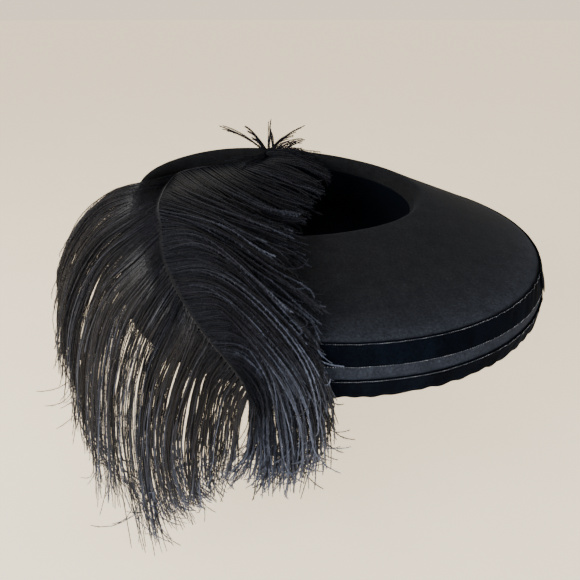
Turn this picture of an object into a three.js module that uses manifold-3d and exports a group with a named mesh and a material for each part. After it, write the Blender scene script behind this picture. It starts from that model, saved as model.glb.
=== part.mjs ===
// Picture hat of black felt with a sunken velvet crown, two velvet ribbons and an ostrich plume.
// Millimetres. +Z is up, +X the wearer's front and -Y the wearer's right. The origin is the middle
// of the underside of the sunken crown's tip, where the head meets the hat.
import * as THREE from 'three';
import { mergeVertices } from 'three/addons/utils/BufferGeometryUtils.js';
import Module from 'manifold-3d';

// Head collar and the sunken crown's tip
const headLength = 198;
const headWidth = 160;
const collarDrop = 31;
const tipThickness = 2;

// Rolled rim round the sunken crown, an oval with its wide end to the back
const rimFrontReach = 137.2;
const rimBackReach = 92;
const rimWidth = 174.2;
const rimForward = -9.8;
const rimSideways = -0.2;
const rimHeight = 38.3;
const rimTiltToFront = -0.039;
const rimTiltToLeft = 0.129;
const rollOut = 7.5;
const rollRise = 7.7;

// Brim and its side band, measured over the ribbons
const brimLength = 354;
const brimWidth = 386.6;
const brimForward = 55;
const brimSideways = 8;
const brimTop = 3;
const sideHeight = 37;
const sideFlare = 6.2;
const shoulderRadius = 2.4;

// Walls and clearances
const feltWall = 2;
const sideSeam = 5.4;
const collarSeamBelowRim = 5;
const velvetWall = 1.4;
const ribbonWall = 1.2;
const clearance = 0.3;

// Ribbons
const upperRibbonWidth = 14.7;
const stripWidth = 8.7;
const lowerRibbonTurn = 9;
const velvetBelowRim = 4;

// Plume
const barbLength = 200;
const lockThickness = 2.6;
const quillRadius = 2.4;
const quillTipRadius = 1.1;
const knotRadius = 6;
const tuftLength = 50;
const locksPerSide = 17;

// How finely the walls and the plume are cut into faces
const aroundSteps = 56;
const lockSteps = 8;
const quillSteps = 26;
const quillSides = 6;

const UP = new THREE.Vector3(0, 0, 1);
const turn = (step, steps) => (2 * Math.PI * step) / steps;
const mix = (a, b, share) => a + (b - a) * share;

// Ovals and surfaces of the hat

function onOval(centreX, centreY, halfLength, halfWidth, angle, height) {
  return new THREE.Vector3(centreX + halfLength * Math.cos(angle), centreY + halfWidth * Math.sin(angle), height);
}

function outwardFrom(halfLength, halfWidth, angle) {
  return new THREE.Vector3(Math.cos(angle) / halfLength, Math.sin(angle) / halfWidth, 0).normalize();
}

function headOval(angle, height) {
  return onOval(0, 0, headLength / 2, headWidth / 2, angle, height);
}

function rimHalfLength(angle) {
  return Math.cos(angle) > 0 ? rimFrontReach : rimBackReach;
}

function rimPoint(angle) {
  const point = onOval(rimForward, rimSideways, rimHalfLength(angle), rimWidth / 2, angle, 0);
  const forward = point.x - rimForward;
  const left = point.y - rimSideways;
  point.z = rimHeight + rimTiltToFront * forward + rimTiltToLeft * left;
  return point;
}

function rollPoint(angle, quarter) {
  const outward = outwardFrom(rimHalfLength(angle), rimWidth / 2, angle);
  const swing = (quarter * Math.PI) / 2;
  const point = rimPoint(angle).addScaledVector(outward, rollOut * (1 - Math.cos(swing)));
  point.z += rollRise * Math.sin(swing);
  return point;
}

function brimPoint(angle, inset) {
  const outward = outwardFrom(brimLength / 2, brimWidth / 2, angle);
  const point = onOval(brimForward, brimSideways, brimLength / 2, brimWidth / 2, angle, brimTop);
  return point.addScaledVector(outward, -inset);
}

function topPoint(angle, share, inset) {
  return rollPoint(angle, 1).lerp(brimPoint(angle, inset), share);
}

function collarPoint(angle, share) {
  const foot = headOval(angle, 0);
  return foot.lerp(rimPoint(angle), share);
}

const sideRows = [
  { down: 0, flare: 0 },
  { down: 0.4, flare: 0.78 },
  { down: 0.63, flare: 1 },
  { down: 1, flare: 0.77 },
];

function sideFlareAt(down) {
  const next = Math.max(1, sideRows.findIndex((row) => row.down >= Math.min(1, down) - 1e-9));
  const [upper, lower] = [sideRows[next - 1], sideRows[next]];
  const share = THREE.MathUtils.clamp((down - upper.down) / (lower.down - upper.down), 0, 1);
  return sideFlare * mix(upper.flare, lower.flare, share);
}

function sidePoint(angle, drop, inset) {
  const point = brimPoint(angle, inset - sideFlareAt(drop / sideHeight));
  point.z = brimTop - drop;
  return point;
}

// Closed solids from rows of points

function geometryFrom(corners, faces) {
  const positions = new Float32Array(corners.flatMap((corner) => [corner.x, corner.y, corner.z]));
  let volume = 0;
  for (const [a, b, c] of faces) {
    volume += corners[a].dot(new THREE.Vector3().crossVectors(corners[b], corners[c]));
  }
  const outward = volume < 0 ? faces.map(([a, b, c]) => [a, c, b]) : faces;
  const geometry = new THREE.BufferGeometry();
  geometry.setAttribute('position', new THREE.BufferAttribute(positions, 3));
  geometry.setIndex(outward.flat());
  return geometry;
}

function bridge(faces, a, b, c, d) {
  faces.push([a, b, c], [a, c, d]);
}

// Each section is a closed loop of points; the sections follow each other round the hat.
function ringSolid(sections) {
  const count = sections[0].length;
  const faces = [];
  sections.forEach((section, row) => {
    const next = (row + 1) % sections.length;
    for (let k = 0; k < count; k += 1) {
      const after = (k + 1) % count;
      bridge(faces, row * count + k, row * count + after, next * count + after, next * count + k);
    }
  });
  return geometryFrom(sections.flat(), faces);
}

// Each section is an open line of points from one pole to the other, the poles left out.
function cupSolid(sections, firstPole, lastPole) {
  const count = sections[0].length;
  const corners = [...sections.flat(), firstPole, lastPole];
  const first = corners.length - 2;
  const faces = [];
  sections.forEach((section, row) => {
    const here = row * count;
    const next = ((row + 1) % sections.length) * count;
    faces.push([first, here, next]);
    faces.push([corners.length - 1, next + count - 1, here + count - 1]);
    for (let k = 0; k < count - 1; k += 1) {
      bridge(faces, here + k, here + k + 1, next + k + 1, next + k);
    }
  });
  return geometryFrom(corners, faces);
}

// Each section is a closed loop; the first and last are closed by a fan round their middle.
function rodSolid(sections) {
  const count = sections[0].length;
  const middle = (section) => section.reduce((sum, p) => sum.add(p), new THREE.Vector3()).divideScalar(count);
  const corners = [...sections.flat(), middle(sections[0]), middle(sections[sections.length - 1])];
  const start = corners.length - 2;
  const last = (sections.length - 1) * count;
  const faces = [];
  for (let k = 0; k < count; k += 1) {
    const after = (k + 1) % count;
    faces.push([start, after, k]);
    faces.push([start + 1, last + k, last + after]);
    for (let row = 0; row < sections.length - 1; row += 1) {
      const here = row * count;
      bridge(faces, here + k, here + after, here + count + after, here + count + k);
    }
  }
  return geometryFrom(corners, faces);
}

// Walls: a path is a list of functions of the angle, from the inside of the hat to the outside

function normalOn(path, step, angle) {
  const nudge = 0.01;
  const around = path[step](angle + nudge).sub(path[step](angle - nudge));
  const next = path[Math.min(step + 1, path.length - 1)](angle);
  const along = next.sub(path[Math.max(step - 1, 0)](angle));
  return along.cross(around).normalize();
}

function wallSections(path, outerDepth, innerDepth, first = 0, last = path.length) {
  return Array.from({ length: aroundSteps }, (_, row) => {
    const angle = turn(row, aroundSteps);
    const at = (step, depth) => path[step](angle).addScaledVector(normalOn(path, step, angle), -depth);
    const outer = path.map((_, step) => at(step, outerDepth)).slice(first, last);
    const inner = path.map((_, step) => at(step, innerDepth)).slice(first, last);
    return [...outer, ...inner.reverse()];
  });
}

const collarRows = [0.45];
const rollRows = [0, 0.3, 0.6, 0.85];
const topRows = [0, 0.25, 0.55, 0.8];
const collarSeam = 1 - collarSeamBelowRim / rimHeight;
const hemLift = ribbonWall + clearance;
const coveredInset = ribbonWall + clearance;

// The felt's visible side, its band set in by the ribbons' thickness or, with no inset, level with them
function hatPath(inset) {
  const shoulder = 1 - shoulderRadius / (brimForward + brimLength / 2 - rimForward - rimFrontReach);
  return [
    (angle) => headOval(angle, -collarDrop),
    (angle) => headOval(angle, 0),
    ...collarRows.map((share) => (angle) => collarPoint(angle, share)),
    (angle) => collarPoint(angle, collarSeam),
    (angle) => collarPoint(angle, collarSeam + clearance / rimPoint(angle).z),
    ...rollRows.map((quarter) => (angle) => rollPoint(angle, quarter)),
    ...topRows.map((share) => (angle) => topPoint(angle, share, inset)),
    (angle) => topPoint(angle, shoulder, inset),
    (angle) => sidePoint(angle, shoulderRadius, inset),
    (angle) => sidePoint(angle, sideSeam, inset),
    (angle) => sidePoint(angle, sideSeam + clearance, inset),
    ...sideRows.slice(1, 3).map((row) => (angle) => sidePoint(angle, row.down * sideHeight, inset)),
    (angle) => sidePoint(angle, sideHeight - hemLift, inset),
  ];
}

// The felt is sewn from a collar, a top and a side; the velvets hide both seams
const feltPath = hatPath(coveredInset);
const topStart = 2 + collarRows.length + 1;
const sideStart = feltPath.length - 4;

function feltPiece(first, last) {
  return ringSolid(wallSections(feltPath, 0, feltWall, first, last));
}

// Sunken velvet crown: a flat tip and a wall that lines the collar up to just below the rim

function velvetCrown() {
  const lining = [
    (angle) => headOval(angle, 0),
    ...[0.3, 0.6].map((share) => (angle) => collarPoint(angle, share)),
    (angle) => collarPoint(angle, 1 - velvetBelowRim / rimHeight),
  ];
  const sections = Array.from({ length: aroundSteps }, (_, row) => {
    const angle = turn(row, aroundSteps);
    const at = (step, depth) => {
      const point = lining[step](angle).addScaledVector(normalOn(lining, step, angle), depth);
      point.z = lining[step](angle).z;
      return point;
    };
    const outer = lining.map((_, step) => at(step, clearance));
    const inner = lining.map((_, step) => at(step, clearance + velvetWall));
    inner[0].z = tipThickness;
    return [...outer, ...inner.reverse()];
  });
  return cupSolid(sections, new THREE.Vector3(), new THREE.Vector3(0, 0, tipThickness));
}

// Ribbons

function upperRibbon() {
  const drops = [0, upperRibbonWidth / 2, upperRibbonWidth];
  const sections = Array.from({ length: aroundSteps }, (_, row) => {
    const angle = turn(row, aroundSteps);
    const outer = drops.map((drop) => sidePoint(angle, drop, 0));
    const inner = drops.map((drop) => sidePoint(angle, drop, ribbonWall));
    return [...outer, ...inner.reverse()];
  });
  return ringSolid(sections);
}

function lowerRibbon() {
  const top = upperRibbonWidth + stripWidth;
  const inside = coveredInset + feltWall + clearance;
  const turnTop = sideHeight - lowerRibbonTurn;
  const sections = Array.from({ length: aroundSteps }, (_, row) => {
    const angle = turn(row, aroundSteps);
    return [
      sidePoint(angle, top, 0),
      sidePoint(angle, sideHeight - ribbonWall, 0),
      sidePoint(angle, sideHeight, ribbonWall),
      sidePoint(angle, sideHeight, inside),
      sidePoint(angle, sideHeight - ribbonWall, inside + ribbonWall),
      sidePoint(angle, turnTop, inside + ribbonWall),
      sidePoint(angle, turnTop, inside),
      sidePoint(angle, sideHeight - ribbonWall, inside),
      sidePoint(angle, sideHeight - ribbonWall, ribbonWall),
      sidePoint(angle, top, ribbonWall),
    ];
  });
  return ringSolid(sections);
}

// The ribbons and the air that the plume leaves round them
function ribbonRoom() {
  const drops = [-clearance, upperRibbonWidth / 2, upperRibbonWidth, upperRibbonWidth + stripWidth, sideHeight + clearance];
  const sections = Array.from({ length: aroundSteps }, (_, row) => {
    const angle = turn(row, aroundSteps);
    const outer = drops.map((drop) => sidePoint(angle, drop, -clearance));
    const inner = drops.map((drop) => sidePoint(angle, drop, coveredInset));
    return [...outer, ...inner.reverse()];
  });
  return ringSolid(sections);
}

// Plume. A place on it is an angle round the hat in degrees, a reach and a lift. The reach is -1 at
// the middle of the sunken crown, 0 on the rim's crest, 1 at the brim's edge, and past that the
// share of a barb's length beyond the edge. The lift is a share of a barb's length.

function plumePlace(degrees, reach, lift) {
  const angle = THREE.MathUtils.degToRad(degrees);
  const crest = rollPoint(angle, 1);
  const middle = new THREE.Vector3(rimForward, rimSideways, rimHeight + rollRise);
  const inner = middle.lerp(crest, Math.min(1, 1 + reach));
  const point = inner.lerp(brimPoint(angle, 0), Math.min(1, Math.max(0, reach)));
  const beyond = Math.max(0, reach - 1) * barbLength;
  point.addScaledVector(outwardFrom(brimLength / 2, brimWidth / 2, angle), beyond);
  point.z += lift * barbLength;
  return point;
}

const quillRows = [
  { angle: 89, reach: -0.11, lift: -0.01 },
  { angle: 106, reach: -0.14, lift: -0.05 },
  { angle: 133, reach: -0.13, lift: -0.05 },
  { angle: 147, reach: -0.14, lift: -0.04 },
  { angle: 159, reach: -0.17, lift: -0.03 },
  { angle: 178, reach: -0.22, lift: -0.02 },
  { angle: 209, reach: -0.18, lift: 0.02 },
  { angle: 229, reach: 0, lift: 0.03 },
  { angle: 231, reach: 0.18, lift: 0.03 },
  { angle: 232, reach: 0.54, lift: 0.035 },
  { angle: 235, reach: 0.75, lift: 0.035 },
  { angle: 239, reach: 1, lift: 0.045 },
  { angle: 247, reach: 1.05, lift: -0.01 },
  { angle: 252, reach: 1.08, lift: -0.05 },
  { angle: 256, reach: 1.1, lift: -0.11 },
  { angle: 257, reach: 1.1, lift: -0.15 },
];

// Each barb row has four places along its barb, the last of them its tip.
// Barbs on the side towards the wearer's front
const frontRows = [
  { along: 0.01, angle: [80, 68, 50, 32], reach: [-0.43, -0.48, -0.52, -0.49], lift: [0.02, 0.02, 0.02, 0.01] },
  { along: 0.1, angle: [100, 39, -17, -30], reach: [-0.77, -0.83, -0.72, -0.51], lift: [0.02, 0.03, 0.02, 0.01] },
  { along: 0.19, angle: [160, -80, -62, -58], reach: [-0.7, -0.76, -0.45, -0.14], lift: [0.03, 0.03, 0.02, 0.02] },
  { along: 0.25, angle: [-164, -89, -75, -68], reach: [-0.62, -0.49, -0.19, 0.04], lift: [0.03, 0.04, 0.03, 0.02] },
  { along: 0.4, angle: [-135, -94, -82, -76], reach: [-0.43, -0.23, 0.08, 0.29], lift: [0.04, 0.05, 0.04, 0.02] },
  { along: 0.51, angle: [-122, -95, -88, -82], reach: [-0.2, 0.03, 0.32, 0.48], lift: [0.04, 0.05, 0.04, 0.03] },
  { along: 0.58, angle: [-111, -100, -94, -87], reach: [0.07, 0.29, 0.58, 0.74], lift: [0.04, 0.06, 0.04, 0.03] },
  { along: 0.63, angle: [-114, -104, -100, -92], reach: [0.31, 0.51, 0.8, 0.92], lift: [0.05, 0.06, 0.05, 0.03] },
  { along: 0.69, angle: [-114, -105, -99, -91], reach: [0.57, 0.76, 0.96, 1.05], lift: [0.06, 0.06, 0.02, -0.04] },
  { along: 0.74, angle: [-112, -106, -98, -89], reach: [0.74, 1, 1.05, 1.07], lift: [0.05, 0.06, -0.04, -0.17] },
  { along: 0.8, angle: [-112, -105, -97, -88], reach: [0.92, 1.03, 1.06, 1.07], lift: [0.05, 0, -0.12, -0.28] },
  { along: 0.86, angle: [-108, -102, -97, -89], reach: [1.02, 1.05, 1.06, 1.08], lift: [0.02, -0.06, -0.22, -0.39] },
  { along: 0.92, angle: [-105, -101, -98, -94], reach: [1.06, 1.06, 1.07, 1.08], lift: [-0.06, -0.15, -0.31, -0.49] },
  { along: 1, angle: [-102, -103, -104, -107], reach: [1.11, 1.1, 1.09, 1.1], lift: [-0.2, -0.29, -0.39, -0.51] },
];

// Barbs on the side towards the wearer's back
const backRows = [
  { along: 0.27, angle: [195, 186, 180, 176], reach: [-0.07, 1.03, 1.23, 1.44], lift: [0.03, 0.19, 0.04, -0.2] },
  { along: 0.44, angle: [205, 190, 186, 180], reach: [0.03, 1.07, 1.25, 1.47], lift: [0.03, 0.16, -0.03, -0.4] },
  { along: 0.51, angle: [207, 195, 190, 186], reach: [0.34, 1.1, 1.27, 1.46], lift: [0.06, 0.07, -0.18, -0.64] },
  { along: 0.57, angle: [213, 201, 196, 192], reach: [0.56, 1.1, 1.28, 1.41], lift: [0.07, 0.01, -0.32, -0.82] },
  { along: 0.61, angle: [218, 207, 201, 197], reach: [0.67, 1.09, 1.24, 1.36], lift: [0.06, -0.04, -0.39, -0.92] },
  { along: 0.65, angle: [222, 213, 207, 203], reach: [0.8, 1.09, 1.2, 1.28], lift: [0.04, -0.09, -0.47, -1.12] },
  { along: 0.7, angle: [226, 219, 214, 209], reach: [0.93, 1.08, 1.16, 1.22], lift: [0.04, -0.13, -0.5, -1.21] },
  { along: 0.74, angle: [229, 223, 218, 215], reach: [1.01, 1.07, 1.14, 1.16], lift: [0.01, -0.18, -0.53, -1.2] },
  { along: 0.79, angle: [235, 230, 225, 221], reach: [1.03, 1.08, 1.12, 1.12], lift: [-0.01, -0.2, -0.56, -1.28] },
  { along: 0.84, angle: [240, 235, 231, 228], reach: [1.05, 1.08, 1.1, 1.08], lift: [-0.06, -0.25, -0.56, -1.03] },
  { along: 0.88, angle: [244, 240, 236, 236], reach: [1.06, 1.08, 1.09, 1.06], lift: [-0.09, -0.27, -0.55, -0.92] },
  { along: 0.92, angle: [248, 245, 242, 241], reach: [1.08, 1.08, 1.08, 1.06], lift: [-0.13, -0.29, -0.53, -0.77] },
  { along: 1, angle: [256, 255, 254, 252], reach: [1.11, 1.1, 1.1, 1.1], lift: [-0.22, -0.31, -0.42, -0.51] },
];

const tuftRows = [
  { forward: -0.99, left: 0.16, up: 0.52 },
  { forward: -0.5, left: 0.16, up: 0.48 },
  { forward: 0.04, left: 0.22, up: 0.6 },
  { forward: 0.7, left: 0.2, up: 0.52 },
  { forward: 0.56, left: 0.16, up: 0.32 },
  { forward: 0.76, left: 0.12, up: 0.2 },
];

const quillCurve = new THREE.CatmullRomCurve3(quillRows.map((row) => plumePlace(row.angle, row.reach, row.lift)));

function plumeSide(rows) {
  const placesAt = (part) => rows.map((row) => plumePlace(row.angle[part], row.reach[part], row.lift[part]));
  return { rows, strings: rows[0].angle.map((_, part) => new THREE.CatmullRomCurve3(placesAt(part))) };
}

function alongRows(rows, along) {
  const next = Math.max(1, rows.findIndex((row) => row.along >= along - 1e-9));
  const step = rows[next].along - rows[next - 1].along;
  return (next - 1 + (along - rows[next - 1].along) / step) / (rows.length - 1);
}

// A barb's middle line, from the quill through its four places
function barbPoint(side, along, share) {
  const place = alongRows(side.rows, along);
  const knots = [quillCurve.getPointAt(along), ...side.strings.map((string) => string.getPoint(place))];
  return new THREE.CatmullRomCurve3(knots).getPoint(share);
}

function lockSolid(side, along, halfStep) {
  const first = side.rows[0].along;
  const sections = Array.from({ length: lockSteps + 1 }, (_, step) => {
    const share = step / lockSteps;
    const before = barbPoint(side, Math.max(first, along - halfStep), share);
    const after = barbPoint(side, Math.min(1, along + halfStep), share);
    const here = barbPoint(side, along, share);
    const ahead = barbPoint(side, along, Math.min(1, share + 0.02));
    const behind = barbPoint(side, along, Math.max(0, share - 0.02));
    const spread = after.sub(before);
    const flat = spread.clone().multiplyScalar(0.48 * (1 - 0.6 * share ** 4));
    const thin = ahead.sub(behind).cross(spread).normalize().multiplyScalar(mix(0.5, 0.3, share) * lockThickness);
    return [
      here.clone().add(flat),
      here.clone().add(thin),
      here.clone().sub(flat),
      here.clone().sub(thin),
    ];
  });
  return rodSolid(sections);
}

function quillSolid() {
  const sections = Array.from({ length: quillSteps + 1 }, (_, step) => {
    const share = step / quillSteps;
    const middle = quillCurve.getPointAt(share);
    const along = quillCurve.getTangentAt(share);
    const side = new THREE.Vector3().crossVectors(along, UP).normalize();
    const raised = new THREE.Vector3().crossVectors(side, along);
    const radius = mix(quillRadius, quillTipRadius, share);
    return Array.from({ length: quillSides }, (_, corner) => {
      const angle = turn(corner, quillSides);
      const across = side.clone().multiplyScalar(Math.cos(angle) * radius);
      return across.addScaledVector(raised, Math.sin(angle) * radius).add(middle);
    });
  });
  return rodSolid(sections);
}

function tuftSolid({ forward, left, up }) {
  const root = quillCurve.getPointAt(0);
  const tip = new THREE.Vector3(forward, left, up).multiplyScalar(tuftLength);
  const along = tip.clone().normalize();
  const side = new THREE.Vector3().crossVectors(along, UP).normalize();
  const raised = new THREE.Vector3().crossVectors(side, along);
  const sections = [0, 0.35, 0.7, 1].map((share) => {
    const radius = mix(knotRadius / 2, knotRadius / 12, share);
    const middle = root.clone().addScaledVector(tip, share).addScaledVector(UP, 0.12 * tuftLength * share * (1 - share));
    return Array.from({ length: 4 }, (_, corner) => {
      const across = side.clone().multiplyScalar(Math.cos(turn(corner, 4)) * radius);
      return across.addScaledVector(raised, Math.sin(turn(corner, 4)) * radius).add(middle);
    });
  });
  return rodSolid(sections);
}

function knotSolid() {
  const geometry = new THREE.SphereGeometry(knotRadius, 10, 7);
  const centre = quillCurve.getPointAt(0);
  geometry.translate(centre.x, centre.y, centre.z);
  return geometry;
}

const wasm = await Module();
wasm.setup();

function asManifold(geometry) {
  const bare = geometry.clone();
  bare.deleteAttribute('normal');
  bare.deleteAttribute('uv');
  const merged = mergeVertices(bare, 1e-5);
  return new wasm.Manifold(new wasm.Mesh({
    numProp: 3,
    vertProperties: new Float32Array(merged.attributes.position.array),
    triVerts: new Uint32Array(merged.index.array),
  }));
}

function fromManifold(manifold) {
  const mesh = manifold.getMesh();
  const geometry = new THREE.BufferGeometry();
  geometry.setAttribute('position', new THREE.BufferAttribute(new Float32Array(mesh.vertProperties), 3));
  geometry.setIndex(Array.from(mesh.triVerts));
  return geometry;
}

function ostrichPlume() {
  const pieces = [quillSolid(), knotSolid(), ...tuftRows.map(tuftSolid)];
  for (const rows of [frontRows, backRows]) {
    const side = plumeSide(rows);
    const start = rows[0].along;
    const halfStep = (1 - start) / locksPerSide / 2;
    for (let lock = 0; lock < locksPerSide; lock += 1) {
      pieces.push(lockSolid(side, start + halfStep * (2 * lock + 1), halfStep));
    }
  }
  const fused = pieces.map(asManifold).reduce((sum, piece) => sum.add(piece));
  // What would reach into the hat is trimmed away, so the knot sits against the rolled rim.
  const hatRoom = asManifold(ringSolid(wallSections(hatPath(0), -clearance, coveredInset + feltWall)));
  const bodies = fused.subtract(hatRoom).subtract(asManifold(ribbonRoom())).decompose();
  return fromManifold(bodies.reduce((best, body) => (body.volume() > best.volume() ? body : best)));
}

// Materials and the hat

const felt = new THREE.MeshStandardMaterial({ color: 0x101114, roughness: 0.85, metalness: 0 });
const crownVelvet = new THREE.MeshStandardMaterial({ color: 0x05070a, roughness: 0.95, metalness: 0 });
const ribbonVelvet = new THREE.MeshStandardMaterial({ color: 0x07090c, roughness: 0.9, metalness: 0 });
const feather = new THREE.MeshStandardMaterial({ color: 0x15161a, roughness: 0.6, metalness: 0 });

function named(name, geometry, material) {
  const mesh = new THREE.Mesh(geometry, material);
  mesh.name = name;
  return mesh;
}

const hat = new THREE.Group();
hat.add(
  named('felt_top', feltPiece(topStart, sideStart), felt),
  named('felt_side', feltPiece(sideStart, feltPath.length), felt),
  named('felt_collar', feltPiece(0, topStart), felt),
  named('velvet_crown', velvetCrown(), crownVelvet),
  named('upper_ribbon', upperRibbon(), ribbonVelvet),
  named('lower_ribbon', lowerRibbon(), ribbonVelvet),
  named('ostrich_plume', ostrichPlume(), feather),
);

export default hat;
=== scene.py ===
import math

import bmesh
import bpy
import numpy as np
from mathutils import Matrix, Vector, noise
from mathutils.bvhtree import BVHTree


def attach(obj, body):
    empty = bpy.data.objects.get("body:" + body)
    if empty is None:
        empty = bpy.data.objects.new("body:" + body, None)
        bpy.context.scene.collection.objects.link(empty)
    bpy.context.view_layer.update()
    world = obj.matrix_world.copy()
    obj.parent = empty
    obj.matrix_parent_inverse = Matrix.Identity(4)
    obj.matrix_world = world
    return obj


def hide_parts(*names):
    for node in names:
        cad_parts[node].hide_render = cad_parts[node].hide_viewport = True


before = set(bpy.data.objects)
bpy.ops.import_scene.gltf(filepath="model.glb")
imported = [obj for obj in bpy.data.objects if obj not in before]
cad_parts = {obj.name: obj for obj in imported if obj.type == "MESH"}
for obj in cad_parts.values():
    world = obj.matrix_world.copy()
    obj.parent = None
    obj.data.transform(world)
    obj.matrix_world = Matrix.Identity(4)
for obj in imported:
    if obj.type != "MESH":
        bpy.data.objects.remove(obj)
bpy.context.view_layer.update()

bpy.ops.object.select_all(action="DESELECT")

# Sizes of the hat, in metres
HEAD_LENGTH = 0.198
HEAD_WIDTH = 0.160
COLLAR_DROP = 0.031
TIP_THICKNESS = 0.002
RIM_FRONT_REACH = 0.1372
RIM_BACK_REACH = 0.092
RIM_HALF_WIDTH = 0.0871
RIM_FORWARD = -0.0098
RIM_SIDEWAYS = -0.0002
RIM_HEIGHT = 0.0383
RIM_TILT_TO_FRONT = -0.039
RIM_TILT_TO_LEFT = 0.129
ROLL_OUT = 0.0075
ROLL_RISE = 0.0077
BRIM_HALF_LENGTH = 0.177
BRIM_HALF_WIDTH = 0.1933
BRIM_FORWARD = 0.055
BRIM_SIDEWAYS = 0.008
BRIM_TOP = 0.003
SIDE_HEIGHT = 0.037
SIDE_FLARE = 0.0062
SHOULDER_RADIUS = 0.0024
FELT_WALL = 0.002
VELVET_WALL = 0.0014
RIBBON_WALL = 0.0012
CLEARANCE = 0.0003
UPPER_RIBBON_WIDTH = 0.0147
STRIP_WIDTH = 0.0087
RIBBON_TURN = 0.009
VELVET_BELOW_RIM = 0.004
BARB_LENGTH = 0.200
FLOOR_HEIGHT = -0.275

UP = np.array([0.0, 0.0, 1.0])


def mix(a, b, share):
    return a + (b - a) * share


def unit(vector):
    length = np.linalg.norm(vector, axis=-1, keepdims=True)
    return vector / np.maximum(length, 1e-9)


def walked_along(points):
    """How far each point is from the first, along the points."""
    return np.concatenate([[0], np.cumsum(np.linalg.norm(np.diff(points, axis=0), axis=1))])


def between(places, known, rows):
    """The rows' values at the places, taken between those at the known places."""
    return np.stack([np.interp(places, known, rows[:, axis]) for axis in range(3)], axis=-1)


# Ovals and surfaces of the hat


def on_oval(centre, half_length, half_width, angle, height):
    return np.array([
        centre[0] + half_length * math.cos(angle),
        centre[1] + half_width * math.sin(angle),
        height,
    ])


def outward_from(half_length, half_width, angle):
    return unit(np.array([math.cos(angle) / half_length, math.sin(angle) / half_width, 0.0]))


def head_oval(angle, height):
    return on_oval((0, 0), HEAD_LENGTH / 2, HEAD_WIDTH / 2, angle, height)


def rim_half_length(angle):
    return RIM_FRONT_REACH if math.cos(angle) > 0 else RIM_BACK_REACH


def rim_point(angle):
    point = on_oval((RIM_FORWARD, RIM_SIDEWAYS), rim_half_length(angle), RIM_HALF_WIDTH, angle, 0)
    forward = point[0] - RIM_FORWARD
    left = point[1] - RIM_SIDEWAYS
    point[2] = RIM_HEIGHT + RIM_TILT_TO_FRONT * forward + RIM_TILT_TO_LEFT * left
    return point


def roll_point(angle, quarter):
    swing = quarter * math.pi / 2
    outward = outward_from(rim_half_length(angle), RIM_HALF_WIDTH, angle)
    point = rim_point(angle) + outward * ROLL_OUT * (1 - math.cos(swing))
    point[2] += ROLL_RISE * math.sin(swing)
    return point


def brim_point(angle, inset):
    outward = outward_from(BRIM_HALF_LENGTH, BRIM_HALF_WIDTH, angle)
    centre = (BRIM_FORWARD, BRIM_SIDEWAYS)
    return on_oval(centre, BRIM_HALF_LENGTH, BRIM_HALF_WIDTH, angle, BRIM_TOP) - outward * inset


def top_point(angle, share, inset):
    return mix(roll_point(angle, 1), brim_point(angle, inset), share)


def collar_point(angle, share):
    return mix(head_oval(angle, 0), rim_point(angle), share)


SIDE_DOWNS = (0, 0.4, 0.63, 1)
SIDE_FLARES = (0, 0.78, 1, 0.77)


def side_point(angle, drop, inset):
    flare = SIDE_FLARE * float(np.interp(drop / SIDE_HEIGHT, SIDE_DOWNS, SIDE_FLARES))
    point = brim_point(angle, inset - flare)
    point[2] = BRIM_TOP - drop
    return point


# Ways of making a piece


def seeded_noise(point, scale, lane):
    return noise.noise(Vector((point[0] * scale, point[1] * scale, point[2] * scale + lane * 17.3)))


def ring_skin(name, rows, around):
    """A skin round the hat: a circle, extruded once for each further row and set down on it."""
    bpy.ops.mesh.primitive_circle_add(vertices=around, radius=1)
    piece = bpy.context.object
    piece.name = name
    piece.data.name = name
    bpy.ops.object.mode_set(mode="EDIT")
    mesh = bmesh.from_edit_mesh(piece.data)
    turned = mesh.verts.layers.float.new("turned")
    for vert in mesh.verts:
        vert[turned] = math.atan2(vert.co.y, vert.co.x)
        vert.co = rows[0](vert[turned])
    bmesh.update_edit_mesh(piece.data)
    for row in rows[1:]:
        bpy.ops.mesh.extrude_edges_move()
        mesh = bmesh.from_edit_mesh(piece.data)
        turned = mesh.verts.layers.float["turned"]
        for vert in mesh.verts:
            if vert.select:
                vert.co = row(vert[turned])
        bmesh.update_edit_mesh(piece.data)
    return piece


def face_outwards(piece, probe):
    """Leaves edit mode with the faces turned so that the one nearest the probe looks towards it."""
    bpy.ops.mesh.select_all(action="SELECT")
    bpy.ops.mesh.normals_make_consistent(inside=False)
    mesh = bmesh.from_edit_mesh(piece.data)
    nearest = min(mesh.faces, key=lambda face: (face.calc_center_median() - probe).length)
    if nearest.normal.dot(probe - nearest.calc_center_median()) < 0:
        bpy.ops.mesh.flip_normals()
    bpy.ops.mesh.select_all(action="DESELECT")
    bpy.ops.object.mode_set(mode="OBJECT")


def wall(piece, thickness):
    """Gives a skin its thickness, on the side that its faces look away from."""
    solid = piece.modifiers.new("wall", "SOLIDIFY")
    solid.thickness = thickness
    solid.offset = -1
    solid.use_even_offset = True
    bpy.ops.object.modifier_apply(modifier=solid.name)


def smooth(piece):
    rounder = piece.modifiers.new("smooth", "SUBSURF")
    rounder.levels = 1
    rounder.render_levels = 1
    bpy.ops.object.modifier_apply(modifier=rounder.name)
    bpy.ops.object.shade_smooth()


def finish(piece, material, slot, *nodes):
    piece.data.materials.clear()
    piece.data.materials.append(material)
    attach(piece, "root")
    if nodes:
        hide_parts(*nodes)
    bpy.ops.object.select_all(action="DESELECT")


# Materials


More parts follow.
